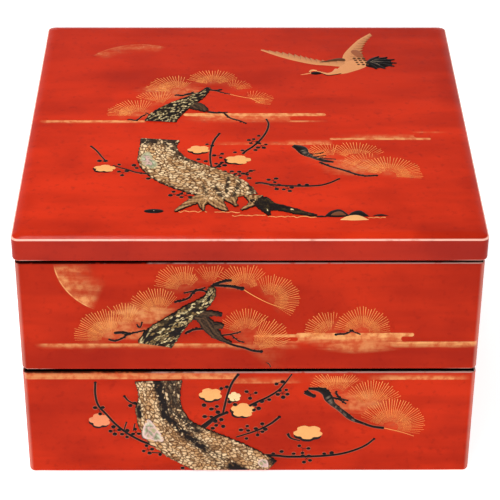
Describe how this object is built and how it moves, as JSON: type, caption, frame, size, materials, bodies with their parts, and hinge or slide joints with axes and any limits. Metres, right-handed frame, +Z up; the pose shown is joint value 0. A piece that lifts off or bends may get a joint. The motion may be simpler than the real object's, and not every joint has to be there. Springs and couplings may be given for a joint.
{
  "type": "tiered lacquer box",
  "caption": "Square stacking box of red lacquered wood: shallow trays that seat on one another under a lift-off lid, with pine, plum and crane in gold and black.",
  "frame": {"origin": "centre of the underside, where the lower tray stands", "axes": "+Z up through the stacked trays, decorated front towards -Y, +X to the right of the front"},
  "size_m": [0.24, 0.24, 0.1516],
  "materials": {
    "tier_lacquer": "polished vermilion lacquer over wood, black inside",
    "lid_lacquer": "polished vermilion lacquer over wood, black inside"
  },
  "bodies": {
    "root": {"lower_tier": "tier_lacquer", "upper_tier": "tier_lacquer", "lid": "lid_lacquer"}
  },
  "joints": []
}
